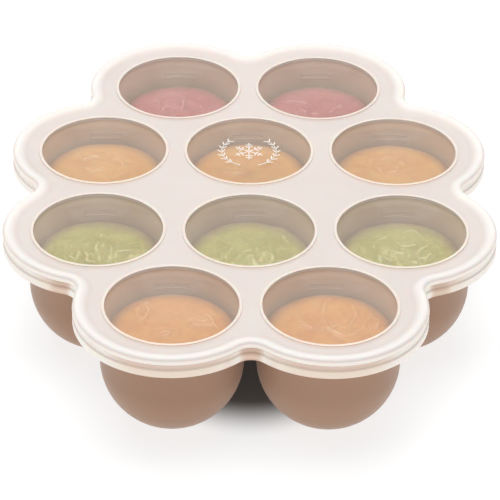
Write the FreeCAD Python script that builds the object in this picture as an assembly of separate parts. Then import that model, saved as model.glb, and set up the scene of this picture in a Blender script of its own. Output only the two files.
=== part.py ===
import FreeCAD, Part
import math
import os

# A freezer tray for baby food: a scalloped silicone deck with ten hanging cups,
# a clear-windowed lid that drops over the deck, and a portion of puree in each cup.
# Millimetres. The origin is on the ground under the middle of the tray, +Z is up
# and +Y points to the back row of cups.

# Cup grid
CUP_GAP = 3.6               # between the outer walls of neighbouring cups, at their top
HEX_ANGLE = 60.0            # the end rows sit in the gaps of the rows beside them

# Cups
CUP_HEIGHT = 46.9           # ground to the top face of the deck
MOUTH_RADIUS = 26.2         # inner radius at the top face of the deck
CUP_WALL = 2.0
CUP_FLOOR = 2.2
CUP_DRAFT = 1.2             # degrees, so that a frozen portion lets go
BOWL_HEIGHT = 24.6          # the straight wall turns into the bowl here
BASE_ROUND = 2.5            # outer edge of the flat base
FLOOR_ROUND = 4.0           # inner edge of the flat floor
ROOT_ROUND = 1.2            # where the cup meets the underside of the deck

# Fill lines, short ribs on the back wall of each cup
FILL_LINE_DROP = 5.6        # top face of the deck to the upper line
FILL_LINE_SPACING = 2.2
FILL_LINE_LENGTH = 14.0
FILL_LINE_WIDTH = 0.5
FILL_LINE_RELIEF = 0.3
FILL_LINE_COUNT = 2

# Deck of the tray
DECK_THICKNESS = 3.0
DECK_MARGIN = 9.8           # deck edge beyond the mouth of an outer cup
DECK_ROUND = 1.0
LIP_WIDTH = 1.2             # raised lip around each mouth
LIP_HEIGHT = 0.8
LIP_ROUND = 0.4

# Lid
SIDE_CLEARANCE = 0.4        # skirt to deck edge
TOP_CLEARANCE = 0.3         # lid to deck, and seal groove to mouth lip
LID_THICKNESS = 1.6
WINDOW_THICKNESS = 1.3
WINDOW_INSET = 0.7          # edge of a window inside the mouth of its cup
BEAD_WIDTH = 1.0            # raised ring around each window
BEAD_HEIGHT = 0.4
BEAD_ROUND = 0.3
RIM_HEIGHT = 1.7            # outer rim above the face of the lid
RIM_WIDTH = 0.6
RIM_ROUND = 2.0             # outer edge of the rim
RIM_BLEND = 2.0             # inner edge of the rim, where it turns into the slope
RIM_SLOPE = 4.0             # from the foot of the rim to its top, along the lid
SKIRT_WALL = 1.4
SKIRT_DEPTH = 5.3           # below the underside of the lid
SKIRT_LIP_HEIGHT = 3.0      # bottom lip, under the groove
SKIRT_LIP_ROUND = 0.6
GROOVE_HEIGHT = 3.1
GROOVE_DEPTH = 0.6
GROOVE_SLOPE = 0.9
NOTCH_RADIUS = 7.0          # outer face of the skirt, between two lobes

# Puree
PUREE_CLEARANCE = 0.3       # to the wall of the cup
PUREE_DOME = 1.2            # middle above the shoulder
PUREE_SHOULDER_DROP = 4.5   # shoulder down to where the puree meets the wall
PUREE_SHOULDER_WIDTH = 4.5
# Top face of the deck down to the shoulder of the puree, row by row
FILL_DEPTHS = {"back": 11.3, "midback": 9.3, "midfront": 8.7, "front": 9.3}

UP = FreeCAD.Vector(0, 0, 1)
FULL_TURN = 360.0
TINY = 0.01
NEARBY = 1.2                # neighbouring cups lie within this many pitches

# Heights that follow from the sizes above
DECK_UNDER = CUP_HEIGHT - DECK_THICKNESS
LID_UNDER = CUP_HEIGHT + TOP_CLEARANCE
LID_FACE = LID_UNDER + LID_THICKNESS
RIM_TOP = LID_FACE + RIM_HEIGHT
SKIRT_BOTTOM = LID_UNDER - SKIRT_DEPTH
GROOVE_BOTTOM = SKIRT_BOTTOM + SKIRT_LIP_HEIGHT
GROOVE_TOP = GROOVE_BOTTOM + GROOVE_HEIGHT

# Cups and windows
CUP_PITCH = 2 * (MOUTH_RADIUS + CUP_WALL) + CUP_GAP    # between neighbouring cups
WINDOW_RADIUS = MOUTH_RADIUS - WINDOW_INSET

# Reaches, measured out from the centre of an outer cup
DECK_REACH = MOUTH_RADIUS + DECK_MARGIN
SKIRT_INSIDE = DECK_REACH + SIDE_CLEARANCE
LID_REACH = SKIRT_INSIDE + SKIRT_WALL
RIM_FLAT = LID_REACH - RIM_ROUND - RIM_WIDTH
RIM_FOOT = RIM_FLAT - RIM_SLOPE


def cup_positions():
    """Name and centre of each cup, row by row from the back."""
    inner_row = CUP_PITCH / 2
    outer_row = inner_row + CUP_PITCH * math.sin(math.radians(HEX_ANGLE))
    rows = [("back", outer_row, ["left", "right"]),
            ("midback", inner_row, ["left", "centre", "right"]),
            ("midfront", -inner_row, ["left", "centre", "right"]),
            ("front", -outer_row, ["left", "right"])]
    cups = {}
    for row, y, columns in rows:
        first = -(len(columns) - 1) / 2
        for number, column in enumerate(columns):
            x = (first + number) * CUP_PITCH
            cups[row, column] = FreeCAD.Vector(x, y, 0)
    return cups


def lobe_centres(cups):
    """Centres of the eight outer cups, anticlockwise from the front right."""
    order = [("front", "right"), ("midfront", "right"), ("midback", "right"), ("back", "right"),
             ("back", "left"), ("midback", "left"), ("midfront", "left"), ("front", "left")]
    return [cups[key] for key in order]


def notch_centre(lobe, next_lobe):
    """Centre of the round notch between two neighbouring lobes."""
    chord = next_lobe - lobe
    outwards = chord.cross(UP).normalize()
    reach = math.sqrt((LID_REACH + NOTCH_RADIUS) ** 2 - (chord.Length / 2) ** 2)
    return (lobe + next_lobe) * 0.5 + outwards * reach


def turn_between(centre, start, end):
    """Anticlockwise angle from start to end about centre, in degrees."""
    first = math.atan2(start.y - centre.y, start.x - centre.x)
    last = math.atan2(end.y - centre.y, end.x - centre.x)
    return math.degrees(last - first) % FULL_TURN


def outline_turns(lobes):
    """Start point of the lid's outline, and each arc's centre and signed turn."""
    count = len(lobes)
    notches = [notch_centre(lobes[i], lobes[(i + 1) % count]) for i in range(count)]
    turns = []
    for i, lobe in enumerate(lobes):
        before, after = notches[i - 1], notches[i]
        turns.append((lobe, turn_between(lobe, before, after)))
        next_lobe = lobes[(i + 1) % count]
        turns.append((after, turn_between(after, lobe, next_lobe) - FULL_TURN))
    direction = (notches[-1] - lobes[0]).normalize()
    return lobes[0], direction, turns


def turned(point, centre, angle):
    """A point turned about a vertical line through centre."""
    return centre + FreeCAD.Rotation(UP, angle).multVec(point - centre)


def outline_wire(lobes, reach, height):
    """Scalloped outline at a reach from the cup centres and a height."""
    start_lobe, direction, turns = outline_turns(lobes)
    point = start_lobe + direction * reach + UP * height
    edges = []
    for centre, angle in turns:
        middle = turned(point, centre, angle / 2)
        end = turned(point, centre, angle)
        edges.append(Part.Arc(point, middle, end).toShape())
        point = end
    return Part.Wire(edges)


def scalloped_plate(lobes, reach, bottom, top):
    """Flat plate with the scalloped outline."""
    face = Part.Face(outline_wire(lobes, reach, bottom))
    return face.extrude(UP * (top - bottom))


def sweep_round_outline(lobes, profile):
    """Closed band: a face of (reach, height) corners carried along the outline."""
    start_lobe, direction, turns = outline_turns(lobes)
    corners = [start_lobe + direction * reach + UP * height for reach, height in profile]
    face = Part.Face(Part.makePolygon(corners + corners[:1]))
    pieces = []
    for centre, angle in turns:
        axis = UP if angle > 0 else -UP
        pieces.append(face.revolve(centre, axis, abs(angle)))
        face.rotate(centre, axis, abs(angle))
    return pieces[0].multiFuse(pieces[1:]).removeSplitter()


def wall_radius(height):
    """Inner radius of a cup's straight wall at a height."""
    return MOUTH_RADIUS - (CUP_HEIGHT - height) * math.tan(math.radians(CUP_DRAFT))


def ring(inner, outer, bottom, top):
    """Upright ring about the origin."""
    return Part.makeCylinder(outer, top - bottom, UP * bottom).cut(
        Part.makeCylinder(inner, top - bottom, UP * bottom))


def edges_at(shape, radius, height):
    """Circular edges of a shape with this radius and height."""
    found = []
    for edge in shape.Edges:
        if edge.Degenerated or not isinstance(edge.Curve, Part.Circle):
            continue
        circle = edge.Curve
        if abs(circle.Radius - radius) < TINY and abs(circle.Center.z - height) < TINY:
            found.append(edge)
    return found


def bowl_profile(gap, floor, top):
    """Half section of a cup's surface: flat floor, bowl and drafted wall.

    gap is how far the surface lies outside the cup's inner face. Gives the edges,
    the radius of the flat floor and the top corner."""
    bowl_radius = wall_radius(BOWL_HEIGHT) + gap
    floor_radius = math.sqrt(bowl_radius ** 2 - (BOWL_HEIGHT - floor) ** 2)
    half_angle = math.asin((floor - BOWL_HEIGHT) / bowl_radius) / 2
    middle = FreeCAD.Vector(bowl_radius * math.cos(half_angle), 0,
                            BOWL_HEIGHT + bowl_radius * math.sin(half_angle))
    floor_edge = FreeCAD.Vector(floor_radius, 0, floor)
    spring = FreeCAD.Vector(bowl_radius, 0, BOWL_HEIGHT)
    corner = FreeCAD.Vector(wall_radius(top) + gap, 0, top)
    edges = [Part.makeLine(UP * floor, floor_edge),
             Part.Arc(floor_edge, middle, spring).toShape(),
             Part.makeLine(spring, corner)]
    return edges, floor_radius, corner


def turned_solid(edges):
    """Solid of revolution about the origin's upright axis."""
    return Part.Face(Part.Wire(edges)).revolve(FreeCAD.Vector(), UP, FULL_TURN)


def cup_surface(gap, floor, floor_round):
    """Solid inside a cup's inner face (gap 0) or outer face (gap of one wall)."""
    edges, floor_radius, corner = bowl_profile(gap, floor, DECK_UNDER)
    closing = [Part.makeLine(corner, UP * DECK_UNDER),
               Part.makeLine(UP * DECK_UNDER, UP * floor)]
    solid = turned_solid(edges + closing)
    return solid.makeFillet(floor_round, edges_at(solid, floor_radius, floor))


def fill_line(height):
    """Short rib on the back of a cup's inner wall."""
    radius = wall_radius(height)
    rib = ring(radius - FILL_LINE_RELIEF, radius + CUP_WALL / 2,
               height - FILL_LINE_WIDTH, height)
    reach = radius + CUP_WALL
    window = Part.makeBox(FILL_LINE_LENGTH, reach, FILL_LINE_WIDTH,
                          FreeCAD.Vector(-FILL_LINE_LENGTH / 2, 0, height - FILL_LINE_WIDTH))
    return rib.common(window)


def make_cup():
    """One cup, from its flat base up to the underside of the deck."""
    root_radius = wall_radius(DECK_UNDER) + CUP_WALL
    root = Part.makeCone(root_radius, root_radius + ROOT_ROUND, ROOT_ROUND,
                         UP * (DECK_UNDER - ROOT_ROUND))
    cup = cup_surface(CUP_WALL, 0, BASE_ROUND).fuse(root)
    cup = cup.cut(cup_surface(0, CUP_FLOOR, FLOOR_ROUND))
    for number in range(FILL_LINE_COUNT):
        height = CUP_HEIGHT - FILL_LINE_DROP - number * FILL_LINE_SPACING
        cup = cup.fuse(fill_line(height))
    return cup.removeSplitter()


def make_tray_deck(cups):
    """Deck of the tray, with its ten mouths and their raised lips."""
    lobes = lobe_centres(cups)
    deck = scalloped_plate(lobes, DECK_REACH, DECK_UNDER, CUP_HEIGHT)
    border = [edge for edge in deck.Edges if edge.BoundBox.ZLength < TINY]
    deck = deck.makeFillet(DECK_ROUND, border)
    lip_radius = MOUTH_RADIUS + LIP_WIDTH
    lip_top = CUP_HEIGHT + LIP_HEIGHT
    lip = Part.makeCylinder(lip_radius, LIP_HEIGHT, UP * CUP_HEIGHT)
    lip = lip.makeFillet(LIP_ROUND, edges_at(lip, lip_radius, lip_top))
    mouth_bore = Part.makeCone(wall_radius(DECK_UNDER), wall_radius(lip_top),
                               lip_top - DECK_UNDER, UP * DECK_UNDER)
    for centre in cups.values():
        deck = deck.fuse(lip.translated(centre))
    for centre in cups.values():
        deck = deck.cut(mouth_bore.translated(centre))
    return deck.removeSplitter()


def make_deck_cell(deck, cups, centre):
    """The deck around one mouth, out to halfway to each neighbouring cup."""
    size = deck.BoundBox.DiagonalLength
    for other in cups.values():
        away = other - centre
        if TINY < away.Length < CUP_PITCH * NEARBY:
            beyond = Part.makeBox(size, size, size, FreeCAD.Vector(0, -size / 2, -size / 2))
            beyond.Placement = FreeCAD.Placement((centre + other) * 0.5,
                                                 FreeCAD.Rotation(FreeCAD.Vector(1, 0, 0), away))
            deck = deck.cut(beyond)
    return deck.removeSplitter()


def rim_profile():
    """Section of the lid's edge: slope, rim, groove, bottom lip and skirt."""
    groove_reach = LID_REACH - GROOVE_DEPTH
    return [(RIM_FOOT, LID_UNDER), (RIM_FOOT, LID_FACE),
            (RIM_FLAT, RIM_TOP), (LID_REACH, RIM_TOP),
            (LID_REACH, GROOVE_TOP), (groove_reach, GROOVE_TOP - GROOVE_SLOPE),
            (groove_reach, GROOVE_BOTTOM + GROOVE_SLOPE), (LID_REACH, GROOVE_BOTTOM),
            (LID_REACH, SKIRT_BOTTOM), (SKIRT_INSIDE, SKIRT_BOTTOM),
            (SKIRT_INSIDE, LID_UNDER)]


def outline_edges(shape, reach, height):
    """Edges of a shape that follow the outline at a reach and a height."""
    notch_reach = LID_REACH + NOTCH_RADIUS - reach
    return edges_at(shape, reach, height) + edges_at(shape, notch_reach, height)


def make_window_bead():
    """Raised ring around a window, with a rounded top."""
    outer = WINDOW_RADIUS + BEAD_WIDTH
    top = LID_FACE + BEAD_HEIGHT
    bead = ring(WINDOW_RADIUS, outer, LID_FACE, top)
    crown = edges_at(bead, outer, top) + edges_at(bead, WINDOW_RADIUS, top)
    return bead.makeFillet(BEAD_ROUND, crown)


def make_lid(cups):
    """Lid: thin windows in a thicker face, seal grooves, raised rim and skirt."""
    lobes = lobe_centres(cups)
    border = sweep_round_outline(lobes, rim_profile())
    border = border.makeFillet(RIM_ROUND, outline_edges(border, LID_REACH, RIM_TOP))
    border = border.makeFillet(RIM_BLEND, outline_edges(border, RIM_FLAT, RIM_TOP))
    border = border.makeFillet(SKIRT_LIP_ROUND, outline_edges(border, LID_REACH, SKIRT_BOTTOM))
    lid = scalloped_plate(lobes, RIM_FOOT, LID_UNDER, LID_FACE).fuse(border)
    bead = make_window_bead()
    window_top = LID_UNDER + WINDOW_THICKNESS
    recess = Part.makeCylinder(WINDOW_RADIUS, RIM_TOP - window_top, UP * window_top)
    seal_groove = ring(MOUTH_RADIUS - TOP_CLEARANCE, MOUTH_RADIUS + LIP_WIDTH + TOP_CLEARANCE,
                       LID_UNDER, CUP_HEIGHT + LIP_HEIGHT + TOP_CLEARANCE)
    for centre in cups.values():
        lid = lid.fuse(bead.translated(centre))
    for centre in cups.values():
        lid = lid.cut(recess.translated(centre)).cut(seal_groove.translated(centre))
    return lid.removeSplitter()


def split_lid(lid):
    """The lid's plate, with its windows and rim, and the skirt that hangs from it."""
    size = lid.BoundBox.DiagonalLength
    above = Part.makeBox(size, size, size, FreeCAD.Vector(-size / 2, -size / 2, LID_UNDER))
    return lid.common(above).removeSplitter(), lid.cut(above).removeSplitter()


def arc_on_circle(centre, start, end):
    """Short arc from start to end about centre, in the XZ plane."""
    halfway = (start - centre).normalize() + (end - centre).normalize()
    middle = centre + halfway.normalize() * (start - centre).Length
    return Part.Arc(start, middle, end).toShape()


def make_puree(fill_depth):
    """One portion: it stands on the cup's floor and its top is a low dome.

    fill_depth is from the deck's top face down to the shoulder, where the dome ends."""
    shoulder_height = CUP_HEIGHT - fill_depth
    middle = UP * (shoulder_height + PUREE_DOME)
    edge_height = shoulder_height - PUREE_SHOULDER_DROP
    edges, floor_radius, edge = bowl_profile(-PUREE_CLEARANCE, CUP_FLOOR, edge_height)
    shoulder = FreeCAD.Vector(edge.x - PUREE_SHOULDER_WIDTH, 0, shoulder_height)
    dome_radius = (shoulder.x ** 2 + PUREE_DOME ** 2) / (2 * PUREE_DOME)
    dome_centre = middle - UP * dome_radius
    outwards = (shoulder - dome_centre).normalize()
    fall = edge - shoulder
    shoulder_centre = shoulder + outwards * (fall.dot(fall) / (2 * fall.dot(outwards)))
    edges += [arc_on_circle(shoulder_centre, edge, shoulder),
              arc_on_circle(dome_centre, shoulder, middle),
              Part.makeLine(middle, UP * CUP_FLOOR)]
    puree = turned_solid(edges)
    return puree.makeFillet(FLOOR_ROUND, edges_at(puree, floor_radius, CUP_FLOOR))


def main():
    os.makedirs("parts", exist_ok=True)
    cups = cup_positions()
    lid_plate, lid_skirt = split_lid(make_lid(cups))
    pieces = {"lid_plate": lid_plate, "lid_skirt": lid_skirt}
    deck = make_tray_deck(cups)
    cup = make_cup()
    for (row, column), centre in cups.items():
        pieces[f"deck_{row}_{column}"] = make_deck_cell(deck, cups, centre)
        pieces[f"cup_{row}_{column}"] = cup.translated(centre)
        pieces[f"puree_{row}_{column}"] = make_puree(FILL_DEPTHS[row]).translated(centre)
    for name, shape in pieces.items():
        shape.exportStep(f"parts/{name}.step")
        box = shape.BoundBox
        print(f"{name}: {len(shape.Solids)} solid, {shape.Volume:.0f} mm3, valid {shape.isValid()},",
              f"X {box.XMin:.1f} to {box.XMax:.1f}, Y {box.YMin:.1f} to {box.YMax:.1f},",
              f"Z {box.ZMin:.1f} to {box.ZMax:.1f}")


main()
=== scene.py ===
import math

import bmesh
import bpy
from mathutils import Matrix, Vector, kdtree, noise


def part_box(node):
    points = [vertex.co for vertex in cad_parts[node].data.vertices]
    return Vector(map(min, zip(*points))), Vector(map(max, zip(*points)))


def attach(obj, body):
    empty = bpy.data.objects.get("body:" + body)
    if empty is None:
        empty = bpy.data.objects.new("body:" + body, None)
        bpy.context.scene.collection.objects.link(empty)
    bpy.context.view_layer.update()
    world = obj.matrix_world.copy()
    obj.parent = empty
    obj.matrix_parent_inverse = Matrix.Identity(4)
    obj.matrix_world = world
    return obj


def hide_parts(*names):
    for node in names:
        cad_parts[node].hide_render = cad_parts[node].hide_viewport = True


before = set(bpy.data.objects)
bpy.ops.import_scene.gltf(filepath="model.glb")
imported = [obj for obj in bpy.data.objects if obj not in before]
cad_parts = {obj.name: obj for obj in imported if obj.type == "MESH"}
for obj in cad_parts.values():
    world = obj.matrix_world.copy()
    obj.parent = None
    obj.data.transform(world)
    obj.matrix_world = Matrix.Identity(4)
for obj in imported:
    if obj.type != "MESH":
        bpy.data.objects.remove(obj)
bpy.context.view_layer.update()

MM = 0.001

# ---------------------------------------------------------------- sizes, from the frame

CUPS = {name[len("cup_"):]: sum(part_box(name), Vector()) / 2
        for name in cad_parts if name.startswith("cup_")}
for centre in CUPS.values():
    centre.z = 0.0
MARKED_CUP = "midback_centre"
OUTER_CUPS = ["front_right", "midfront_right", "midback_right", "back_right",
              "back_left", "midback_left", "midfront_left", "front_left"]
LOBES = [CUPS[name] for name in OUTER_CUPS]

RIGHTMOST = max(centre.x for centre in CUPS.values())
DECK_LOW, DECK_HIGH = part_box("deck_midback_right")
SKIRT_LOW, SKIRT_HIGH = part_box("lid_skirt")
DECK_REACH = DECK_HIGH.x - RIGHTMOST    # reaches run out from the centre of an outer cup
LID_REACH = SKIRT_HIGH.x - RIGHTMOST
DECK_UNDER = DECK_LOW.z
RIM_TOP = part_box("lid_plate")[1].z
SKIRT_BOTTOM = SKIRT_LOW.z

# ---------------------------------------------------------------- sizes of the tray

LIP_HEIGHT = 0.8 * MM
LIP_WIDTH = 1.2 * MM
DECK_TOP = DECK_HIGH.z - LIP_HEIGHT
MOUTH_RADIUS = 26.2 * MM
CUP_WALL = 2.0 * MM
CUP_FLOOR = 2.2 * MM
CUP_DRAFT = math.radians(1.2)
BOWL_HEIGHT = 24.6 * MM
BASE_ROUND = 2.5 * MM
FLOOR_ROUND = 4.0 * MM
ROOT_ROUND = 1.5 * MM
ROOT_MARGIN = 0.2 * MM                  # two cups are so close that no more of the deck fits
DECK_ROUND = 1.0 * MM
LIP_ROUND = 0.35 * MM
FLAT_MARGIN = 0.8 * MM                  # flat strip that each round starts from

FILL_LINE_DROPS = [5.6 * MM, 7.8 * MM]
FILL_LINE_LENGTH = 14.0 * MM
FILL_LINE_WIDTH = 0.5 * MM
FILL_LINE_RELIEF = 0.3 * MM

# ---------------------------------------------------------------- sizes of the lid

TOP_CLEARANCE = 0.3 * MM
SIDE_CLEARANCE = 0.4 * MM
LID_UNDER = DECK_TOP + TOP_CLEARANCE
LID_FACE = LID_UNDER + 1.6 * MM
WINDOW_TOP = LID_UNDER + 1.3 * MM
WINDOW_RADIUS = 25.5 * MM
BEAD_WIDTH = 1.3 * MM
BEAD_ROUND = 0.2 * MM
BEAD_SLOPE = 0.15 * MM                  # how far a bead's inner flank leans back
BEAD_TOP = LID_FACE + 0.4 * MM
SEAL_TOP = DECK_HIGH.z + TOP_CLEARANCE
SEAL_INNER = MOUTH_RADIUS - TOP_CLEARANCE
SEAL_OUTER = MOUTH_RADIUS + LIP_WIDTH + TOP_CLEARANCE
SKIRT_INSIDE = DECK_REACH + SIDE_CLEARANCE
RIM_FLAT = LID_REACH - 2.6 * MM
RIM_FOOT = RIM_FLAT - 4.0 * MM
RIM_BLEND = 4.0 * MM
RIM_ROUND = 2.0 * MM
RIM_MARGIN = 2.0 * MM                   # flat strip inside the rim and inside the skirt
GROOVE_REACH = LID_REACH - 0.6 * MM
GROOVE_BOTTOM = SKIRT_BOTTOM + 3.0 * MM
GROOVE_TOP = GROOVE_BOTTOM + 3.1 * MM
GROOVE_SLOPE = 0.9 * MM
GROOVE_ROUND = 0.6 * MM
RIDGE_ROUND = 0.7 * MM
INNER_ROUND = 0.8 * MM
NOTCH_RADIUS = 7.0 * MM
SMALL_ROUND = 0.3 * MM

# ---------------------------------------------------------------- sizes of the puree

PUREE_GAP = 0.15 * MM
SHOULDER_DROP = 5.2 * MM
SHOULDER_WIDTH = 5.0 * MM
EDGE_FADE = 5.0 * MM                    # the painted shade at the edge fades over this width
MARK_FADE = 4.0 * MM                    # marks and lumps die out over this width at the edge

# ---------------------------------------------------------------- sizes of the freezer mark

PRINT_RELIEF = 0.05 * MM
PRINT_STROKE = 0.42 * MM
ARM_LENGTH = 6.2 * MM
WREATH_RADIUS = 11.3 * MM
LEAF_LENGTH = 2.4 * MM
LEAF_LEAN = 0.75

# ---------------------------------------------------------------- fineness of the meshes

ROUND_STEP = math.radians(3.75)         # turned surfaces: one facet for each such angle
NOTCH_STEP = math.radians(7.5)
BOWL_STEP = ROUND_STEP * 1.5
PUREE_STEP = ROUND_STEP / 2
PUREE_RINGS = 56
SHOULDER_STEP = math.radians(8)
CORNER_STEP = math.radians(15)          # rounded corners of a section
MERGE = 0.001 * MM
UP = Vector((0, 0, 1))


# ================================================================ building meshes

def arc(centre_reach, centre_height, radius, first, last, step=CORNER_STEP):
    """Points of a circular arc of a section; angles are from the outward direction, upwards."""
    count = max(2, math.ceil(abs(last - first) / step))
    points = []
    for i in range(count + 1):
        angle = first + (last - first) * i / count
        points.append((centre_reach + radius * math.cos(angle),
                       centre_height + radius * math.sin(angle)))
    return points


def section(bm, corners):
    """Chain of edges through (reach, height) or (reach, height, round) corners, in the XZ plane."""
    places = [Vector((corner[0], 0, corner[1])) for corner in corners]
    points = [bm.verts.new(place) for place in places]
    for point, following in zip(points, points[1:]):
        bm.edges.new((point, following))
    made = list(points)
    for i, corner in enumerate(corners):
        if len(corner) == 2:
            continue
        before = places[i - 1] - places[i]
        after = places[i + 1] - places[i]
        turn = math.pi - before.angle(after)
        rounded = bmesh.ops.bevel(
            bm, geom=[points[i]], offset=corner[2] * math.tan(turn / 2), offset_type="OFFSET",
            segments=max(2, math.ceil(turn / CORNER_STEP)), profile=0.5, affect="VERTICES",
            material=-1)
        made.remove(points[i])
        made += rounded["verts"]
    edges = {edge for point in made for edge in point.link_edges}
    return made + list(edges)


def turn_about(bm, geometry, centre, angle, step):
    """Carries a section about an upright line; gives the section's last place."""
    full = abs(angle - math.tau) < 0.001
    carried = bmesh.ops.spin(
        bm, geom=geometry, cent=centre, axis=UP, angle=angle,
        steps=max(1, round(abs(angle) / step)), use_merge=full, use_duplicate=False)
    return carried["geom_last"]


def turned_surface(bm, corners, step=ROUND_STEP):
    """Full turn of a section about the upright line through the origin."""
    turn_about(bm, section(bm, corners), (0, 0, 0), math.tau, step)


def place_at_each_cup(bm, one_cup):
    """Puts a copy of what is modelled about the origin at each cup."""
    bmesh.ops.remove_doubles(one_cup, verts=one_cup.verts, dist=MERGE)
    mesh = bpy.data.meshes.new("one_cup")
    one_cup.to_mesh(mesh)
    one_cup.free()
    for centre in CUPS.values():
        mesh.transform(Matrix.Translation(centre))
        bm.from_mesh(mesh)
        mesh.transform(Matrix.Translation(-centre))
    bpy.data.meshes.remove(mesh)


def notch_centre(lobe, next_lobe):
    """Centre of the round notch between two neighbouring lobes."""
    chord = next_lobe - lobe
    reach = math.sqrt((LID_REACH + NOTCH_RADIUS) ** 2 - (chord.length / 2) ** 2)
    return (lobe + next_lobe) / 2 + chord.cross(UP).normalized() * reach


NOTCHES = [notch_centre(LOBES[i], LOBES[(i + 1) % len(LOBES)]) for i in range(len(LOBES))]


def turn_between(centre, start, end):
    """Anticlockwise angle from start to end about centre."""
    first = math.atan2(start.y - centre.y, start.x - centre.x)
    last = math.atan2(end.y - centre.y, end.x - centre.x)
    return (last - first) % math.tau


def surface_round_outline(bm, corners):
    """A section carried once round the scalloped outline, lobe by notch by lobe."""
    geometry = section(bm, corners)
    points = [item for item in geometry if isinstance(item, bmesh.types.BMVert)]
    start = NOTCHES[-1] - LOBES[0]
    bmesh.ops.rotate(bm, verts=points, cent=(0, 0, 0),
                     matrix=Matrix.Rotation(math.atan2(start.y, start.x), 3, "Z"))
    bmesh.ops.translate(bm, verts=points, vec=LOBES[0])
    for i, lobe in enumerate(LOBES):
        before, after = NOTCHES[i - 1], NOTCHES[i]
        angle = turn_between(lobe, before, after)
        geometry = turn_about(bm, geometry, lobe, angle, ROUND_STEP)
        angle = turn_between(after, lobe, LOBES[(i + 1) % len(LOBES)]) - math.tau
        geometry = turn_about(bm, geometry, after, angle, NOTCH_STEP)


def close_flat(bm, height):
    """Fills the flat between the open edges that lie at a height."""
    bmesh.ops.remove_doubles(bm, verts=bm.verts, dist=MERGE)
    edges = [edge for edge in bm.edges if edge.is_boundary
             and all(abs(point.co.z - height) < MERGE for point in edge.verts)]
    bmesh.ops.triangle_fill(bm, edges=edges, use_beauty=True, use_dissolve=False, normal=UP)


def finish_piece(bm, name, finishes, body, replaced=()):
    """Makes a closed mesh a piece that rides on a body, with smooth shading."""
    bmesh.ops.remove_doubles(bm, verts=bm.verts, dist=MERGE)
    bmesh.ops.recalc_face_normals(bm, faces=bm.faces)
    for face in bm.faces:
        face.smooth = True
    mesh = bpy.data.meshes.new(name)
    bm.to_mesh(mesh)
    bm.free()
    for finish in finishes:
        mesh.materials.append(finish)
    piece = bpy.data.objects.new(name, mesh)
    bpy.context.scene.collection.objects.link(piece)
    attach(piece, body)
    if replaced:
        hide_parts(*replaced)
    return piece


# ================================================================ materials

MIX_AMOUNT, MIX_FIRST, MIX_SECOND, MIX_RESULT = 0, 6, 7, 2   # a colour Mix node's sockets


class Number:
    """A number that varies over a surface. Arithmetic on it adds Math nodes."""

    def __init__(self, finish, socket):
        self.finish = finish
        self.socket = socket

    def math(self, operation, other=0.0, reflected=False):
        first, second = (other, self) if reflected else (self, other)
        return self.finish.node("Math", {"operation": operation}, {0: first, 1: second})

    def __add__(self, other):
        return self.math("ADD", other)

    __radd__ = __add__

    def __sub__(self, other):
        return self.math("SUBTRACT", other)

    def __rsub__(self, other):
        return self.math("SUBTRACT", other, reflected=True)

    def __mul__(self, other):
        return self.math("MULTIPLY", other)

    __rmul__ = __mul__

    def ramp(self, low, high):
        """0 at low and 1 at high, smooth between them."""
        return self.finish.node("MapRange", {"interpolation_type": "SMOOTHSTEP"},
                                {"Value": self, "From Min": low, "From Max": high})


class Finish:
    """A material under way: its shader's constants, and the nodes of its pattern."""

    def __init__(self, name, constants):
        self.material = bpy.data.materials.new(name)
        self.material.use_nodes = True
        self.tree = self.material.node_tree
        self.shader = self.tree.nodes["Principled BSDF"]
        for socket, value in constants.items():
            self.shader.inputs[socket].default_value = value

    def node(self, kind, settings=None, inputs=None, output=0):
        """Adds a node: its settings first, then a value or a link for each input."""
        node = self.tree.nodes.new("ShaderNode" + kind)
        for setting, value in (settings or {}).items():
            setattr(node, setting, value)
        for name, value in (inputs or {}).items():
            self.feed(node.inputs[name], value)
        return Number(self, node.outputs[output])

    def feed(self, socket, value):
        if isinstance(value, Number):
            self.tree.links.new(value.socket, socket)
        else:
            socket.default_value = value

    def paint(self, values):
        """Feeds the shader's own inputs, such as Base Color or Roughness."""
        for socket, value in values.items():
            self.feed(self.shader.inputs[socket], value)

    def place(self):
        """Object coordinates: a point of the piece, in metres."""
        return self.node("TexCoord", output="Object")

    def height(self):
        """How high a point of the piece lies, in metres."""
        return self.node("SeparateXYZ", None, {0: self.place()}, output="Z")

    def noise(self, size, detail=2.0, roughness=0.5, distortion=0.0, squeeze=(1, 1, 1)):
        """Cloudy pattern from 0 to 1, with blotches of about a size in metres."""
        place = self.node("VectorMath", {"operation": "MULTIPLY"}, {0: self.place(), 1: squeeze})
        return self.node("TexNoise", None, {
            "Vector": place, "Scale": 1 / size, "Detail": detail,
            "Roughness": roughness, "Distortion": distortion}, output="Fac")

    def attribute(self, name):
        """A number that the mesh carries at each of its points."""
        return self.node("Attribute", {"attribute_name": name}, output="Fac")

    def distance_to(self, centres):
        """Distance, seen from above, to the nearest of some points."""
        flat = self.node("VectorMath", {"operation": "MULTIPLY"}, {0: self.place(), 1: (1, 1, 0)})
        nearest = None
        for centre in centres:
            reach = self.node("VectorMath", {"operation": "DISTANCE"}, {0: flat, 1: centre},
                              output="Value")
            nearest = reach if nearest is None else nearest.math("MINIMUM", reach)
        return nearest

    def blend(self, first, second, amount):
        """Colour between two colours."""
        return self.node("Mix", {"data_type": "RGBA"}, {
            MIX_AMOUNT: amount, MIX_FIRST: first, MIX_SECOND: second}, output=MIX_RESULT)

    def bump(self, relief, depth, strength=1.0):
        """Fine relief, of a depth in metres where the number goes from 0 to 1."""
        self.paint({"Normal": self.node("Bump", None, {
            "Strength": strength, "Distance": depth, "Height": relief})})


def rgb(red, green, blue):
    """Linear colour of screen values from 0 to 255."""
    def linear(value):
        value /= 255
        return value / 12.92 if value <= 0.04045 else ((value + 0.055) / 1.055) ** 2.4
    return (linear(red), linear(green), linear(blue), 1.0)


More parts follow.
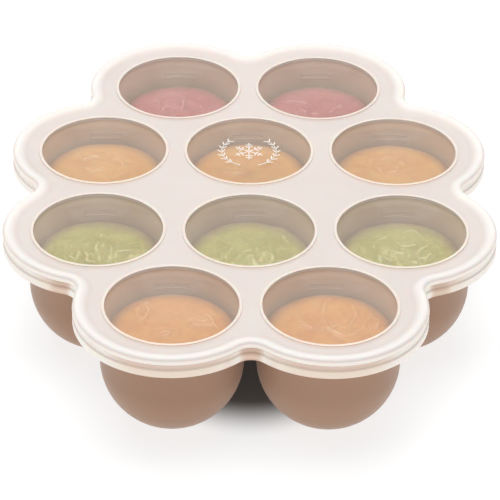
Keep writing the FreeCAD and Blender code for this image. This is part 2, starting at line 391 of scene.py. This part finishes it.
def silicone(name, dark, light, deep_shade=None, painted_light=None):
    """Matt silicone between two tones: silky, mottled, with a fine moulded grain.

    Inside a cup, one tone is painted shade further down, toward the puree, and another painted light
    close to its mouth and at its flanks. Without them it is the outside, with painted shade at a
    cup's heel and at its root under the deck."""
    finish = Finish(name, {
        "IOR": 1.42, "Subsurface Weight": 0.12, "Subsurface Scale": 2 * MM,
        "Sheen Weight": 0.3, "Sheen Roughness": 0.4})
    cloud = finish.noise(45 * MM, detail=3)
    speckle = finish.noise(0.9 * MM, detail=4, roughness=0.7)
    grain = finish.noise(0.35 * MM, detail=2)
    height = finish.height()
    colour = finish.blend(dark, light, cloud.ramp(0.3, 0.7) * 0.7 + speckle * 0.3)
    if deep_shade:
        # Painted shade lower down the inside, toward the puree
        colour = finish.blend(deep_shade, colour, height.ramp(33 * MM, 42 * MM))
        # Painted light close to the mouth and on the flanks
        near = height.ramp(43 * MM, 46 * MM).math(
            "MAXIMUM", finish.attribute("flank").ramp(0.3, 1))
        colour = finish.blend(colour, painted_light, near)
    else:
        # Painted shade at a cup's heel and at its root under the deck
        heel = 1 - height.ramp(7 * MM, 20 * MM)
        root = height.ramp(36 * MM, 42 * MM) - height.ramp(42 * MM, 45 * MM)
        colour = finish.blend(colour, rgb(166, 127, 100), heel.math("MAXIMUM", root) * 0.8)
    finish.paint({
        "Base Color": colour,
        "Roughness": 0.52 + 0.12 * cloud - 0.08 * speckle})
    finish.bump(grain * 0.6 + speckle * 0.4, 0.05 * MM, 0.35)
    return finish.material


STREAK_SPACING = 2.6 * MM               # between the warm streaks in the notches of the skirt, with painted shade
BEAD_SHADOW_SHIFT = 1.8 * MM               # toward the front, of the greyer ring of painted shadow round each bead


def milky_plastic():
    """Translucent white plastic of the lid: frosted, and warmer and clearer at its edge, where the
    tray shows through; with painted shade in its groove, in its notches and in front of each bead,
    and painted light on its rim and upright faces, which also glow a little.
    """
    finish = Finish("milky_lid_plastic", {
        "IOR": 1.47, "Subsurface Weight": 0.2, "Subsurface Scale": 3 * MM,
        "Emission Strength": 0.12})
    height = finish.height()
    flow = finish.noise(28 * MM, detail=3, distortion=0.6)
    frost = finish.noise(0.5 * MM, detail=3, roughness=0.6)
    # Upright faces away from the beads get painted light: a lighter tone and a faint glow
    upright = finish.attribute("upright").ramp(0.3, 0.8)
    # The skirt's warm tint, where the tray shows through, lies only on faces turned to the front or
    # back; the sides stay lighter, painted light
    endwise = finish.attribute("endwise").ramp(0.72, 0.98)
    skirt = endwise * (1 - height.ramp(GROOVE_TOP - 0.9 * MM, GROOVE_TOP - 0.1 * MM))
    # In the groove: the tray's tone through the plastic, and painted shade
    groove = skirt * height.ramp(GROOVE_BOTTOM + 0.1 * MM, GROOVE_BOTTOM + 1.2 * MM)
    # In the notches, a darker warm tone in streaks: the tray's brown through the plastic, and
    # painted shade
    corner = skirt * (1 - finish.distance_to(NOTCHES).ramp(
        NOTCH_RADIUS + 1 * MM, NOTCH_RADIUS + 4 * MM))
    streaks = 0.5 + 0.5 * (height * (math.tau / STREAK_SPACING)).math("SINE")
    # Painted shadow, greyer, on the front side of each bead
    shifted = [centre - Vector((0, BEAD_SHADOW_SHIFT, 0)) for centre in CUPS.values()]
    bead_shadow = 1 - finish.distance_to(shifted).ramp(25.2 * MM, 27.4 * MM)
    white = finish.blend(rgb(227, 217, 211), rgb(233, 223, 218), flow)
    white = finish.blend(white, rgb(214, 200, 192), bead_shadow)
    # Lighter up the rim: painted light on its raised top
    white = finish.blend(white, rgb(247, 243, 239), height.ramp(LID_FACE + 0.3 * MM, RIM_TOP))
    lit_edge = finish.blend(white, rgb(255, 246, 238), upright)
    lip = finish.blend(lit_edge, rgb(243, 225, 206), skirt)
    hollow = finish.blend(lip, rgb(231, 204, 188), groove)
    finish.paint({
        "Base Color": finish.blend(hollow, rgb(205, 168, 142), corner * (0.5 + 0.4 * streaks)),
        "Roughness": 0.44 + 0.12 * frost,
        # A faint glow of the upright faces: painted light
        "Emission Color": finish.blend(rgb(0, 0, 0), rgb(255, 244, 234), upright),
        "Alpha": 0.72 + 0.06 * flow + 0.24 * upright - 0.1 * groove})
    finish.bump(frost * 0.7 + flow * 0.3, 0.04 * MM, 0.3)
    return finish.material


def bead_plastic():
    """Milky plastic where it is thick, round the windows: dense, creamy and smooth, and lighter than
    the face, partly a painted highlight.
    """
    finish = Finish("creamy_bead_plastic", {
        "IOR": 1.47, "Subsurface Weight": 0.3, "Subsurface Scale": 3 * MM})
    flow = finish.noise(12 * MM, detail=2)
    finish.paint({
        "Base Color": finish.blend(rgb(239, 226, 216), rgb(243, 230, 220), flow),
        "Roughness": 0.25 + 0.1 * flow,
        "Alpha": 0.78 + 0.06 * flow})
    finish.bump(flow, 0.05 * MM, 0.3)
    return finish.material


def window_plastic():
    """Clear polished plastic over each cup, with a trace of haze."""
    finish = Finish("clear_window_plastic", {"IOR": 1.47})
    haze = finish.noise(18 * MM, detail=3)
    ripple = finish.noise(9 * MM, detail=1)
    finish.paint({
        "Base Color": finish.blend(rgb(236, 222, 206), rgb(246, 234, 220), haze),
        "Roughness": 0.1 + 0.1 * haze,
        "Alpha": 0.14 + 0.05 * haze})
    finish.bump(ripple, 0.05 * MM, 0.2)
    return finish.material


def puree_finish(name, flesh, pulp, fleck_and_furrow_shade, crest, edge, painted_light, highlight_smears):
    """Moist puree: flesh, pulp and flecks, with painted shade at its edge and in the furrows beside
    the spoon marks, painted highlights on the marks' crests, and paler smears, partly painted
    highlights.
    """
    finish = Finish(name, {
        "IOR": 1.38, "Subsurface Weight": 0.35, "Subsurface Scale": 2.5 * MM,
        "Coat Roughness": 0.15})
    cloud = finish.noise(11 * MM, detail=3, distortion=1.2)
    pulp_spots = finish.noise(1.6 * MM, detail=4, roughness=0.65)
    specks = finish.noise(0.8 * MM, detail=1)
    ridge = finish.attribute("ridge")
    body = finish.blend(flesh, pulp, (cloud * 0.6 + pulp_spots * 0.4).ramp(0.35, 0.65))
    flecked = finish.blend(body, fleck_and_furrow_shade, specks.ramp(0.68, 0.78) * 0.4)
    # Painted shade in the furrows beside the spoon marks, in the flecks' colour
    shaded = finish.blend(flecked, fleck_and_furrow_shade, (0 - ridge).ramp(0.1, 1) * 0.35)
    # Paler smears toward the front, partly painted highlights
    highlight_smear = finish.noise(2.6 * MM, detail=2, distortion=0.3, squeeze=(1, 0.35, 1))
    highlight_smeared = finish.blend(shaded, crest, finish.attribute("front") * highlight_smear.ramp(0.5, 0.72) * highlight_smears)
    # Painted highlight on the crests of the spoon marks
    marked = finish.blend(highlight_smeared, crest, ridge.ramp(0.2, 1.1) * painted_light)
    # Painted shade at the edge, where the puree meets the wall
    finish.paint({
        "Base Color": finish.blend(marked, edge, finish.attribute("edge")),
        "Roughness": 0.3 + 0.25 * pulp_spots,
        "Coat Weight": 0.28 * cloud + 0.3 * ridge.ramp(0.1, 1)})
    finish.bump(pulp_spots * 0.7 + cloud * 0.3, 0.25 * MM, 0.5)
    return finish.material


def printed_white():
    """White ink of the freezer mark, with the grain of a screen print."""
    finish = Finish("white_print", {"IOR": 1.45})
    grain = finish.noise(0.3 * MM, detail=2)
    finish.paint({
        "Base Color": finish.blend(rgb(250, 247, 243), rgb(255, 253, 250), grain),
        "Roughness": 0.45 + 0.15 * grain,
        "Alpha": 0.72 + 0.15 * grain})
    return finish.material


def pale_floor():
    """Plain white studio floor that glows, lighting the tray from below, with a painted shadow where
    the tray stands, where the glow fades out.
    """
    half_axes = (0.085, 0.13, 1.0)      # metres, of the ellipse that the glow is measured in
    finish = Finish("studio_floor", {"Emission Strength": 0.78})
    cloud = finish.noise(0.4, detail=1)
    scaled = finish.node("VectorMath", {"operation": "DIVIDE"}, {0: finish.place(), 1: half_axes})
    reach = finish.node("VectorMath", {"operation": "LENGTH"}, {0: scaled}, output="Value")
    finish.paint({
        "Base Color": finish.blend(rgb(138, 139, 140), rgb(142, 143, 144), cloud),
        "Roughness": 0.6 + 0.05 * cloud,
        # The glow fades to dark under the tray: a painted shadow
        "Emission Color": finish.blend(rgb(46, 44, 42), rgb(255, 255, 255), reach.ramp(0.59, 0.78))})
    return finish.material


# ================================================================ the tray

OUTSIDE, INSIDE, LINE = range(3)        # the tray's finishes, in order


def wall_radius(height):
    """Inner radius of a cup's straight wall at a height."""
    return MOUTH_RADIUS - (DECK_TOP - height) * math.tan(CUP_DRAFT)


def bowl_section(gap, floor, floor_round):
    """From the straight wall round the bowl to the middle of the flat floor."""
    radius = wall_radius(BOWL_HEIGHT) + gap
    round_height = floor + floor_round
    round_reach = math.sqrt((radius - floor_round) ** 2 - (BOWL_HEIGHT - round_height) ** 2)
    meeting = math.atan2(round_height - BOWL_HEIGHT, round_reach)
    bowl = arc(0, BOWL_HEIGHT, radius, 0, meeting, BOWL_STEP)
    heel = arc(round_reach, round_height, floor_round, meeting, -math.pi / 2)
    return bowl + heel[1:] + [(0, floor)]


def fill_line(bm, height):
    """Short rib on the back of a cup's inner wall."""
    radius = wall_radius(height)
    half_turn = FILL_LINE_LENGTH / radius / 2
    crown = radius - FILL_LINE_RELIEF
    root = radius + FILL_LINE_RELIEF
    corners = [(root, height), (crown, height), (crown, height - FILL_LINE_WIDTH),
               (root, height - FILL_LINE_WIDTH)]
    points = [bm.verts.new((reach, 0, level)) for reach, level in corners]
    end = bm.faces.new(points)
    bmesh.ops.rotate(bm, verts=points, cent=(0, 0, 0),
                     matrix=Matrix.Rotation(math.pi / 2 - half_turn, 3, "Z"))
    turn_about(bm, [end], (0, 0, 0), 2 * half_turn, ROUND_STEP)


def is_inside_a_cup(face):
    """True for a face of a cup's inner wall, or of the lip round its mouth."""
    middle = face.calc_center_median()
    nearest = min((middle - centre).xy.length for centre in CUPS.values())
    if middle.z > DECK_TOP + MERGE:
        return nearest < MOUTH_RADIUS + LIP_WIDTH
    return nearest < MOUTH_RADIUS + MERGE and middle.z > BOWL_HEIGHT


def make_tray():
    """Deck and cups as the one soft moulding that they are."""
    bm = bmesh.new()
    surface_round_outline(bm, [
        (DECK_REACH - DECK_ROUND - FLAT_MARGIN, DECK_TOP), (DECK_REACH, DECK_TOP, DECK_ROUND),
        (DECK_REACH, DECK_UNDER, DECK_ROUND),
        (DECK_REACH - DECK_ROUND - FLAT_MARGIN, DECK_UNDER)])
    lip_top = DECK_TOP + LIP_HEIGHT
    lip_outer = MOUTH_RADIUS + LIP_WIDTH
    inside = [(lip_outer + FLAT_MARGIN, DECK_TOP), (lip_outer, DECK_TOP, LIP_ROUND),
              (lip_outer, lip_top, LIP_ROUND), (MOUTH_RADIUS, lip_top, LIP_ROUND)]
    outer_wall = wall_radius(DECK_UNDER) + CUP_WALL
    outside = [(outer_wall + ROOT_ROUND + ROOT_MARGIN, DECK_UNDER),
               (outer_wall, DECK_UNDER, ROOT_ROUND)]
    cup = bmesh.new()
    turned_surface(cup, inside + bowl_section(0, CUP_FLOOR, FLOOR_ROUND))
    turned_surface(cup, outside + bowl_section(CUP_WALL, 0, BASE_ROUND))
    place_at_each_cup(bm, cup)
    close_flat(bm, DECK_TOP)
    close_flat(bm, DECK_UNDER)
    lines = bmesh.new()
    for drop in FILL_LINE_DROPS:
        fill_line(lines, DECK_TOP - drop)
    for face in bm.faces:
        face.material_index = INSIDE if is_inside_a_cup(face) else OUTSIDE
    for face in lines.faces:
        face.material_index = LINE
    place_at_each_cup(bm, lines)
    bmesh.ops.recalc_face_normals(bm, faces=bm.faces)
    bm.normal_update()
    # How far each point faces sideways: the inside of a cup is given painted light there
    flank = bm.verts.layers.float.new("flank")
    for point in bm.verts:
        point[flank] = abs(point.normal.x)
    finishes = [silicone("taupe_silicone", rgb(174, 136, 111), rgb(182, 145, 120)),
                # The inside: a lighter copy of the same silicone, painted light
                silicone("taupe_silicone_inside", rgb(197, 165, 139), rgb(203, 171, 145),
                         rgb(177, 147, 123), rgb(224, 198, 173)),
                # The fill lines: lighter again, a painted highlight along the ribs
                silicone("taupe_silicone_line", rgb(214, 180, 152), rgb(220, 187, 160))]
    nodes = [f"{part}_{name}" for part in ("deck", "cup") for name in CUPS]
    return finish_piece(bm, "tray_moulding", finishes, "tray", nodes)


# ================================================================ the lid

MILKY, CLEAR, BEAD = range(3)           # the lid's finishes, in order


def lid_finish_of(face):
    """Which of the lid's finishes a face has."""
    middle = face.calc_center_median()
    nearest = min((middle - centre).xy.length for centre in CUPS.values())
    if nearest < SEAL_INNER + MERGE and middle.z < WINDOW_TOP + MERGE:
        return CLEAR
    if nearest < WINDOW_RADIUS + BEAD_SLOPE and middle.z < BEAD_TOP - BEAD_ROUND:
        return CLEAR
    if nearest < WINDOW_RADIUS + BEAD_WIDTH + MERGE and middle.z > WINDOW_TOP:
        return BEAD
    return MILKY


def make_lid():
    """Lid: clear windows in a frosted face, beads, seal grooves, rim and skirt."""
    bm = bmesh.new()
    surface_round_outline(bm, [
        (RIM_FOOT - RIM_MARGIN, LID_FACE), (RIM_FOOT, LID_FACE, RIM_BLEND),
        (RIM_FLAT, RIM_TOP, RIM_ROUND), (LID_REACH, RIM_TOP, RIM_ROUND),
        (LID_REACH, GROOVE_TOP, RIDGE_ROUND),
        (GROOVE_REACH, GROOVE_TOP - GROOVE_SLOPE, GROOVE_ROUND),
        (GROOVE_REACH, GROOVE_BOTTOM + GROOVE_SLOPE, GROOVE_ROUND),
        (LID_REACH, GROOVE_BOTTOM, RIDGE_ROUND),
        (LID_REACH, SKIRT_BOTTOM, GROOVE_ROUND), (SKIRT_INSIDE, SKIRT_BOTTOM, SMALL_ROUND),
        (SKIRT_INSIDE, LID_UNDER, INNER_ROUND), (SKIRT_INSIDE - RIM_MARGIN, LID_UNDER)])
    bead_outer = WINDOW_RADIUS + BEAD_WIDTH
    top = [(bead_outer + FLAT_MARGIN, LID_FACE), (bead_outer, LID_FACE, SMALL_ROUND),
           (bead_outer, BEAD_TOP, BEAD_ROUND), (WINDOW_RADIUS + BEAD_SLOPE, BEAD_TOP, BEAD_ROUND),
           (WINDOW_RADIUS, WINDOW_TOP), (0, WINDOW_TOP)]
    underside = [(SEAL_OUTER + FLAT_MARGIN, LID_UNDER),
                 (SEAL_OUTER, LID_UNDER, SMALL_ROUND / 2), (SEAL_OUTER, SEAL_TOP, SMALL_ROUND),
                 (SEAL_INNER, SEAL_TOP, SMALL_ROUND), (SEAL_INNER, LID_UNDER, SMALL_ROUND / 2),
                 (WINDOW_RADIUS, LID_UNDER), (0, LID_UNDER)]
    window = bmesh.new()
    turned_surface(window, top)
    turned_surface(window, underside)
    place_at_each_cup(bm, window)
    close_flat(bm, LID_FACE)
    close_flat(bm, LID_UNDER)
    for face in bm.faces:
        face.material_index = lid_finish_of(face)
    bmesh.ops.recalc_face_normals(bm, faces=bm.faces)
    bm.normal_update()
    # upright carries the painted light and glow of the lid's upright faces; endwise, how far a face
    # turns to the front or back
    upright, endwise = (bm.verts.layers.float.new(kind) for kind in ("upright", "endwise"))
    for point in bm.verts:
        at_a_bead = min((point.co - centre).xy.length for centre in CUPS.values()) < SEAL_OUTER
        point[upright] = 0 if at_a_bead else 1 - abs(point.normal.z)
        point[endwise] = abs(point.normal.y) / max(point.normal.xy.length, MERGE)
    finishes = [milky_plastic(), window_plastic(), bead_plastic()]
    return finish_piece(bm, "lid_shell", finishes, "lid",
                        ["lid_plate", "lid_skirt"])


# ================================================================ the puree

# Spoon marks on each portion, as paths in millimetres from the middle of its cup
SPOON_MARKS = {
    "front_left": [
        [(-9, 16), (-11, 16), (-13, 13), (-14, 8), (-12, 5), (-10, 6), (-9, 11), (-11, 14)],
        [(7, 6), (10, 4), (13, 4)], [(8, 2), (11, 1), (15, 2)], [(13, 8), (15, 5), (17, 1)],
        [(-5, -4), (-2, -3), (0, -4), (-2, -6), (-4, -6)]],
    "front_right": [
        [(1, 19), (-2, 13), (-3, 7), (-1, 0), (4, -5), (10, -4), (14, 1), (16, 9)],
        [(2, 0), (5, 2), (8, 0), (7, -4)], [(-11, 1), (-9, 1), (-7, 0)],
        [(-3, -1), (0, 0), (1, -2)], [(17, 7), (19, 5), (18, 1)],
        [(9, 15), (11, 11), (10, 5), (8, 2)]],
    "midfront_left": [
        [(1, 11), (1, 6), (2, 1)], [(0, 6), (-1, 1), (0, -3)], [(-11, -5), (-9, -7)],
        [(-5, -3), (-4, -9), (-1, -9)], [(8, -2), (12, 0), (16, 0)],
        [(11, -7), (14, -4), (17, -5)], [(4, 3), (5, -2), (5, -7)], [(6, 7), (8, 3)]],
    "midfront_centre": [
        [(-17, -3), (-15, -5), (-12, -7)], [(-5, -7), (-3, -2), (1, 0)], [(-1, -6), (1, -5)],
        [(3, 1), (3, -4), (5, -8)], [(14, 11), (15, 8)], [(11, -7), (14, -6)],
        [(6, -1), (9, -4), (8, -8)], [(-9, -1), (-7, 1)]],
    "midfront_right": [
        [(-1, 12), (3, 15), (7, 15), (10, 11)], [(2, 9), (6, 10), (8, 8)],
        [(-11, 2), (-9, 7), (-5, 10)], [(-10, -2), (-7, -5), (-3, -6)],
        [(-5, 1), (-2, -2), (3, -3), (7, 0), (11, 4)], [(-1, 5), (2, 2), (6, 4)],
        [(0, -8), (3, -6), (6, -8)], [(8, -5), (12, -2)]],
    "back_left": [
        [(2, 12), (2, 6), (1, 1)], [(-13, 8), (-10, 10), (-8, 6)],
        [(-7, 1), (-4, 5), (-1, 2)], [(8, 7), (11, 4)]],
    "back_right": [
        [(-14, 10), (-10, 10), (-6, 9), (-2, 5)], [(6, 0), (8, 4), (13, 7)],
        [(-2, -1), (1, -1)], [(9, 0), (13, 2)], [(-7, 3), (-5, 0)]],
    "midback_left": [
        [(-9, 9), (-7, 11), (-3, 11)], [(-8, 2), (-4, 0), (0, 2)], [(5, 9), (8, 6)]],
    "midback_right": [
        [(-9, 9), (-4, 12), (2, 12)], [(-6, 8), (-7, 3), (-5, 0)],
        [(-3, 4), (0, 5), (2, 3)], [(4, 9), (5, 5)], [(-2, -2), (1, 0)]],
    "midback_centre": [
        [(-10, 0), (-6, -2), (-2, -1)], [(9, 3), (12, 6)]]}
MARK_WIDTH = 0.8 * MM                   # half width of the ridge that a spoon leaves
MARK_HEIGHT = 0.5 * MM
MARK_SPACING = 0.2 * MM                 # between the points that stand for a mark
MARK_CUTS = 3                           # how often a mark's corners are cut
MARK_WANDER = 1.0 * MM                  # how far a mark strays from its path
WANDER_SIZE = 4 * MM
STRENGTH_SIZE = 5 * MM                  # over about this length a mark grows fainter or stronger
FURROW_REACH = 2.2                      # from the crest, in widths of the ridge
FURROW_DEPTH = 0.45                     # as a share of the ridge
LUMP_SIZE = 9 * MM
noise.seed_set(5)                       # so that the marks stray the same way in each run


def rounded_path(path):
    """A path with its corners cut until it is smooth."""
    for cut in range(MARK_CUTS):
        finer = [path[0]]
        for start, end in zip(path, path[1:]):
            finer += [start.lerp(end, 0.25), start.lerp(end, 0.75)]
        path = finer + [path[-1]]
    return path


def spoon_mark_points(name):
    """Closely spaced points along the spoon marks of a portion, to measure from."""
    places = []
    for corners in SPOON_MARKS[name]:
        path = rounded_path([Vector((x, y, 0)) * MM for x, y in corners])
        for start, end in zip(path, path[1:]):
            count = max(1, round((end - start).length / MARK_SPACING))
            places += [start.lerp(end, i / count) for i in range(count)]
    nearest = kdtree.KDTree(len(places))
    for i, place in enumerate(places):
        nearest.insert(place, i)
    nearest.balance()
    return nearest


def spoon_ridge(distance):
    """Section of a spoon mark: a crest of 1 with a shallow furrow on either side."""
    crest = math.exp(-(distance / MARK_WIDTH) ** 2)
    furrow = math.exp(-(distance / MARK_WIDTH - FURROW_REACH) ** 2)
    return crest - FURROW_DEPTH * furrow


def lumps(point, seed, height):
    """Soft lumps of a portion, of about a height, at a point of its top."""
    here = point / LUMP_SIZE + Vector((0, 0, seed))
    return height * sum(share * noise.noise(here * fineness)
                        for share, fineness in ((1, 1), (0.35, 3), (0.12, 8)))


def clamped(number):
    """A number, kept between 0 and 1."""
    return min(1.0, max(0.0, number))


def portion_section(low, high, dome):
    """Dome, shoulder that falls to the wall, and bowl, and where the shoulder ends."""
    shoulder_height = high - dome
    edge_height = shoulder_height - SHOULDER_DROP
    edge_reach = wall_radius(edge_height) - PUREE_GAP
    shoulder_reach = edge_reach - SHOULDER_WIDTH
    dome_radius = (shoulder_reach ** 2 + dome ** 2) / (2 * dome)
    slope = math.asin(shoulder_reach / dome_radius)
    fall = Vector((SHOULDER_WIDTH, -SHOULDER_DROP))
    outwards = Vector((math.sin(slope), math.cos(slope)))
    shoulder_radius = -fall.length_squared / (2 * fall.dot(outwards))
    shoulder_centre = Vector((shoulder_reach, shoulder_height)) - outwards * shoulder_radius
    edge_angle = math.atan2(edge_height - shoulder_centre.y, edge_reach - shoulder_centre.x)
    top = arc(0, high - dome_radius, dome_radius, math.pi / 2, math.pi / 2 - slope,
              slope / PUREE_RINGS)
    shoulder = arc(shoulder_centre.x, shoulder_centre.y, shoulder_radius,
                   math.pi / 2 - slope, edge_angle, SHOULDER_STEP)
    under = bowl_section(-PUREE_GAP, low, FLOOR_ROUND)
    return top + shoulder[1:] + under, edge_reach, edge_height


def make_puree(name, finish, slot, seed, dome, lump_height, edge_shade, back_fade):
    """One portion: fills its cup, with a lumpy dome that falls to the wall.

    Its points carry ridge, how much of a spoon mark's ridge there is, edge, how much painted shade
    lies at the edge, and front, how near the front of the cup they are, where the smears, partly
    painted highlights, lie. The painted shade at the edge fades inwards, over back_fade more at the
    back."""
    low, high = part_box(f"puree_{name}")
    corners, edge_reach, edge_height = portion_section(low.z, high.z, dome)
    bm = bmesh.new()
    turned_surface(bm, corners, PUREE_STEP)
    bmesh.ops.remove_doubles(bm, verts=bm.verts, dist=MERGE)
    marks = spoon_mark_points(name)
    ridge, edge, front = (bm.verts.layers.float.new(kind) for kind in ("ridge", "edge", "front"))
    for point in bm.verts:
        point[edge] = edge_shade
        if point.co.z < edge_height + MERGE:
            continue
        flat = Vector((point.co.x, point.co.y, 0))
        inwards = edge_reach - flat.length
        aside = abs(flat.x) / max(flat.length, MERGE)
        behind = max(0.0, flat.y) / max(flat.length, MERGE)
        share = clamped((inwards - (1 + aside) * MM) / (EDGE_FADE + back_fade * behind))
        point[edge] = edge_shade * (1 - share * share * (3 - 2 * share))
        point[front] = clamped(0.3 - flat.y / edge_reach)
        fade = min(1.0, inwards / MARK_FADE)
        astray = noise.noise_vector(flat / WANDER_SIZE + Vector((0, 0, seed))) * MARK_WANDER
        strength = 0.7 + 0.8 * noise.noise(flat / STRENGTH_SIZE - Vector((0, 0, seed)))
        point[ridge] = fade * strength * spoon_ridge(marks.find(flat + astray)[2])
        point.co.z += fade * (lumps(flat, seed, lump_height) + MARK_HEIGHT * point[ridge])
    bmesh.ops.translate(bm, verts=bm.verts, vec=CUPS[name])
    return finish_piece(bm, f"puree_portion_{name}", [finish], "tray", [f"puree_{name}"])


# ================================================================ the freezer mark

def bar(bm, start, end, level):
    """Thin printed stroke from start to end on a window."""
    along = end - start
    made = bmesh.ops.create_cube(bm, size=1)["verts"]
    bmesh.ops.scale(bm, verts=made, vec=(along.length + PRINT_STROKE, PRINT_STROKE, PRINT_RELIEF))
    bmesh.ops.rotate(bm, verts=made, cent=(0, 0, 0),
                     matrix=Matrix.Rotation(math.atan2(along.y, along.x), 3, "Z"))
    middle = (start + end) / 2
    bmesh.ops.translate(bm, verts=made, vec=(middle.x, middle.y, level))


def heading(angle):
    """Level direction at an angle."""
    return Vector((math.cos(angle), math.sin(angle), 0))


def make_freezer_mark():
    """Plain snowflake between two leafy sprigs, printed on a window of the second row."""
    bm = bmesh.new()
    centre = CUPS[MARKED_CUP]
    level = WINDOW_TOP + PRINT_RELIEF / 2
    for arm in range(6):
        angle = math.tau * arm / 6 + math.pi / 2
        tip = centre + heading(angle) * ARM_LENGTH
        bar(bm, centre, tip, level)
        for fork_share, twig_share in ((0.45, 0.28), (0.72, 0.2)):
            fork = centre.lerp(tip, fork_share)
            for lean in (-1, 1):
                twig = heading(angle + lean) * ARM_LENGTH * twig_share
                bar(bm, fork, fork + twig, level)
    for side in (-1, 1):
        stem = [centre + heading(math.pi / 2 + side * math.radians(degrees)) * WREATH_RADIUS
                for degrees in range(45, 161, 5)]
        for start, end in zip(stem, stem[1:]):
            bar(bm, start, end, level)
        for i in range(1, len(stem) - 3, 3):
            along = (stem[i] - stem[i + 1]).normalized()
            outwards = (stem[i] - centre).normalized()
            for lean in (-LEAF_LEAN, LEAF_LEAN):
                leaf = (along + outwards * lean).normalized() * LEAF_LENGTH
                bar(bm, stem[i], stem[i] + leaf, level)
    piece = finish_piece(bm, "freezer_mark", [printed_white()], "lid")
    for face in piece.data.polygons:
        face.use_smooth = False
    return piece


# ================================================================ the studio

FLOOR_RADIUS = 4.0                      # metres
TRAY_MIDDLE = Vector((0, 0, 0.03))


def make_floor():
    """Round floor that reaches past what the camera sees."""
    bm = bmesh.new()
    bmesh.ops.create_circle(bm, cap_ends=True, segments=64, radius=FLOOR_RADIUS)
    mesh = bpy.data.meshes.new("studio_floor")
    bm.to_mesh(mesh)
    bm.free()
    mesh.materials.append(pale_floor())
    floor = bpy.data.objects.new("studio_floor", mesh)
    bpy.context.scene.collection.objects.link(floor)


def soft_light(name, place, size, power):
    """Large square white light that looks at the tray."""
    lamp = bpy.data.lights.new(name, "AREA")
    lamp.shape = "SQUARE"
    lamp.size = size
    lamp.energy = power
    light = bpy.data.objects.new(name, lamp)
    light.location = place
    light.rotation_euler = (TRAY_MIDDLE - Vector(place)).to_track_quat("-Z", "Y").to_euler()
    bpy.context.scene.collection.objects.link(light)


def make_studio():
    """Floor, even white surroundings, and soft light from above and from the front."""
    make_floor()
    world = bpy.data.worlds.new("studio")
    world.use_nodes = True
    sky = world.node_tree.nodes["Background"]
    sky.inputs["Color"].default_value = (1.0, 1.0, 1.0, 1.0)
    sky.inputs["Strength"].default_value = 0.33
    bpy.context.scene.world = world
    soft_light("overhead", (-0.04, 0.1, 1.1), 1.1, 15)
    soft_light("front_fill", (-0.15, -1.3, 0.7), 0.8, 0.6)


def make_camera():
    """Looks down on the front of the tray from a little left of its middle."""
    lens = 189.1                        # millimetres, as is the sensor
    sensor_width = 36
    place = Vector((-12.3, -898.7, 618.5)) * MM
    pitch, yaw, roll = (math.radians(angle) for angle in (33.69, -0.82, 0.77))
    camera = bpy.data.objects.new("camera", bpy.data.cameras.new("camera"))
    camera.data.lens = lens
    camera.data.sensor_width = sensor_width
    camera.matrix_world = (Matrix.Translation(place) @ Matrix.Rotation(yaw, 4, "Z")
                           @ Matrix.Rotation(math.pi / 2 - pitch, 4, "X")
                           @ Matrix.Rotation(roll, 4, "Z"))
    bpy.context.scene.collection.objects.link(camera)
    bpy.context.scene.camera = camera
    bpy.context.scene.view_settings.view_transform = "Standard"


# Slot, flesh, pulp, flecks (also the furrows' painted shade), the spoon marks' painted highlight,
# the edge's painted shade, and how strong the marks' highlights and the smears, partly painted
# highlights, are
LOOKS = {
    "back": ("puree_pink", rgb(173, 84, 91), rgb(190, 111, 115), rgb(140, 50, 60),
             rgb(226, 168, 164), rgb(128, 84, 72), 0.5, 0.15),
    "midback": ("puree_orange", rgb(202, 141, 61), rgb(213, 161, 79), rgb(180, 102, 46),
                rgb(240, 204, 148), rgb(158, 118, 84), 0.4, 0.15),
    "midfront": ("puree_green", rgb(151, 150, 52), rgb(172, 172, 81), rgb(106, 110, 42),
                 rgb(240, 238, 172), rgb(134, 120, 84), 0.6, 0.8),
    "front": ("puree_peach", rgb(205, 133, 47), rgb(217, 154, 65), rgb(184, 100, 52),
              rgb(240, 198, 142), rgb(160, 114, 80), 0.45, 0.12)}
# Heights of the dome and of the lumps, how dark the painted shade at the edge is, and how much wider
# it is behind
FORMS = {
    "back": (0.5 * MM, 0.7 * MM, 0.9, 3.5 * MM),
    "midback": (0.5 * MM, 0.4 * MM, 0.9, 3.5 * MM),
    "midfront": (1.3 * MM, 0.9 * MM, 1.0, 7.0 * MM),
    "front": (0.5 * MM, 0.4 * MM, 0.9, 3.5 * MM)}
SEED_STEP = 3.7                         # each portion's lumps come from another slice of noise

make_camera()
make_tray()
make_lid()
make_freezer_mark()
finishes = {row: puree_finish(*look) for row, look in LOOKS.items()}
for i, name in enumerate(CUPS):
    row = name.split("_")[0]
    make_puree(name, finishes[row], LOOKS[row][0], i * SEED_STEP, *FORMS[row])
make_studio()
